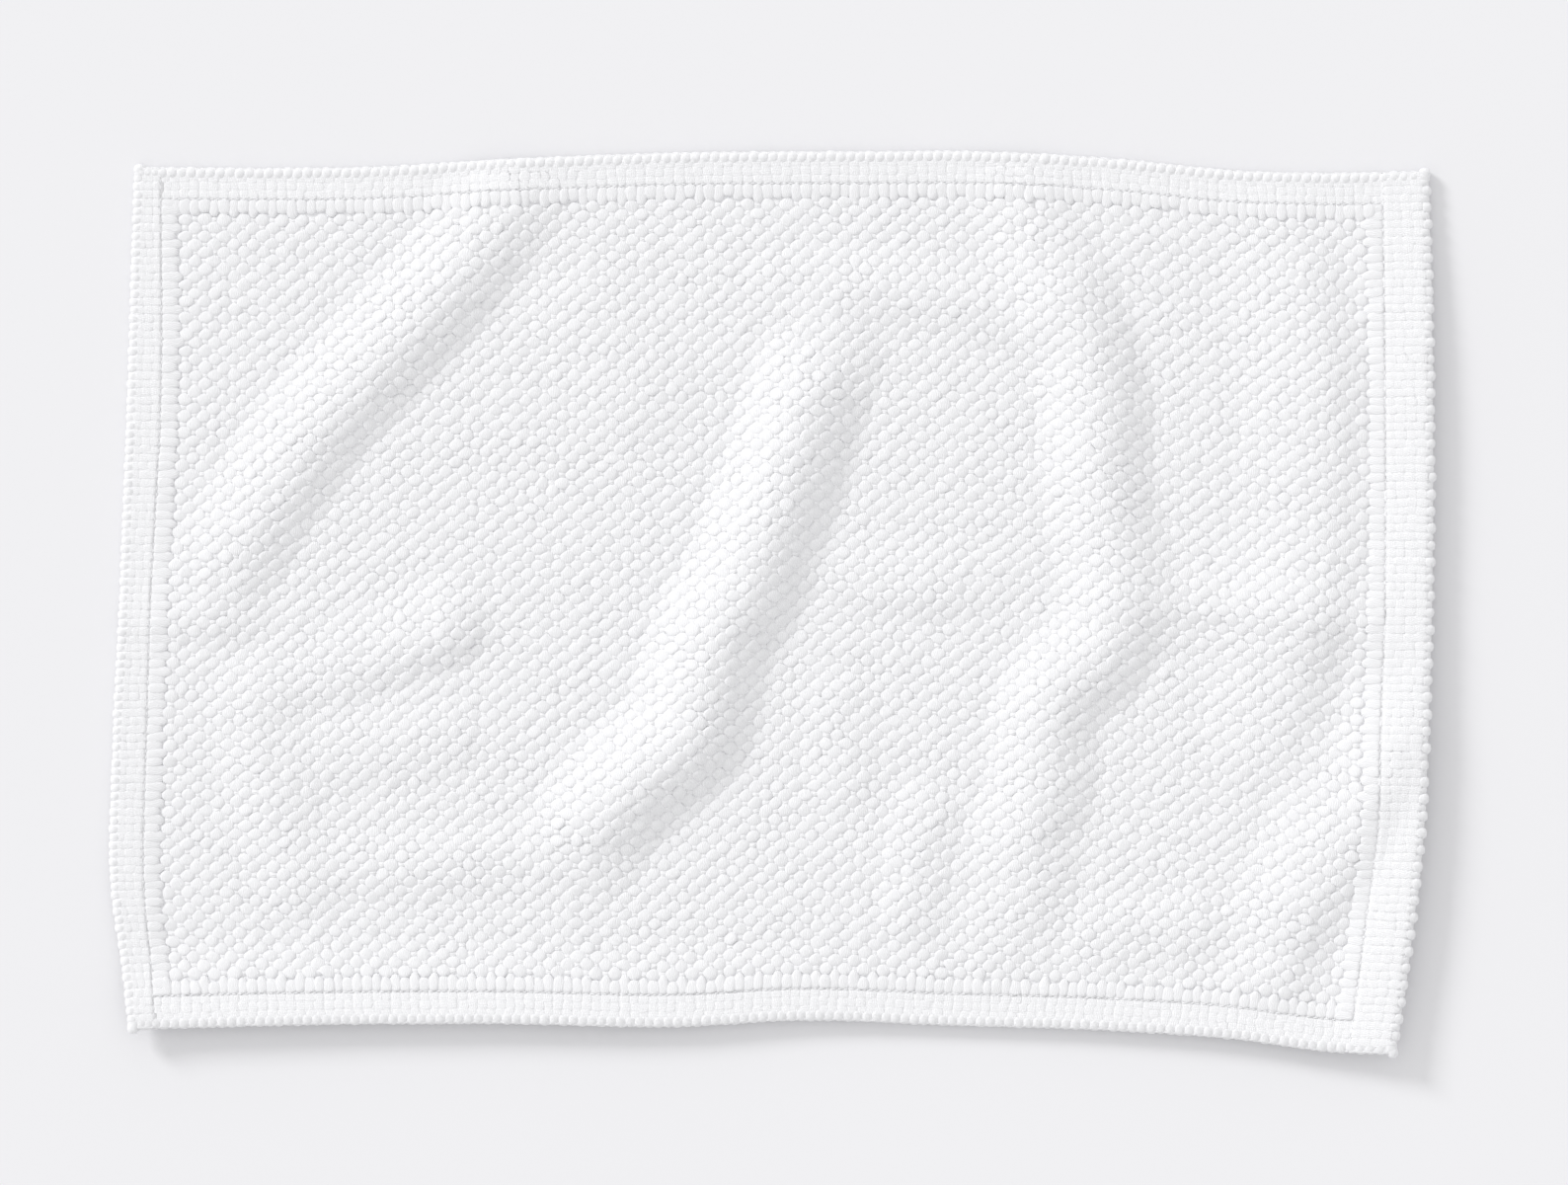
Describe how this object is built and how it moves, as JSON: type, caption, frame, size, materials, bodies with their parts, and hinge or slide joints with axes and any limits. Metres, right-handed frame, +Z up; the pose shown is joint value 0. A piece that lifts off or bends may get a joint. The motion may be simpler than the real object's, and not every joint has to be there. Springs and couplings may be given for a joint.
{
  "type": "bath mat",
  "caption": "Rectangular thick woven cotton bath mat with a pebble-weave field and flat turned hems, lying in soft folds.",
  "frame": {"origin": "on the floor plane, under the middle of the mat's bounding box", "axes": "+X along the mat's long side, +Y along its short side towards the top hem, +Z up out of the face"},
  "size_m": [0.9113, 0.623, 0.0244],
  "materials": {
    "cotton_field": "matt white cotton, coarse pebble weave",
    "cotton_hem": "matt white cotton, flat plain weave",
    "sewing_thread": "white spun sewing thread"
  },
  "bodies": {
    "root": {"woven_field": "cotton_field", "hem_left": "cotton_hem", "hem_right": "cotton_hem", "hem_bottom": "cotton_hem", "hem_top": "cotton_hem", "needle_thread_left": "sewing_thread", "bobbin_thread_left": "sewing_thread", "needle_thread_right": "sewing_thread", "bobbin_thread_right": "sewing_thread", "needle_thread_bottom": "sewing_thread", "bobbin_thread_bottom": "sewing_thread", "needle_thread_top": "sewing_thread", "bobbin_thread_top": "sewing_thread"}
  },
  "joints": []
}
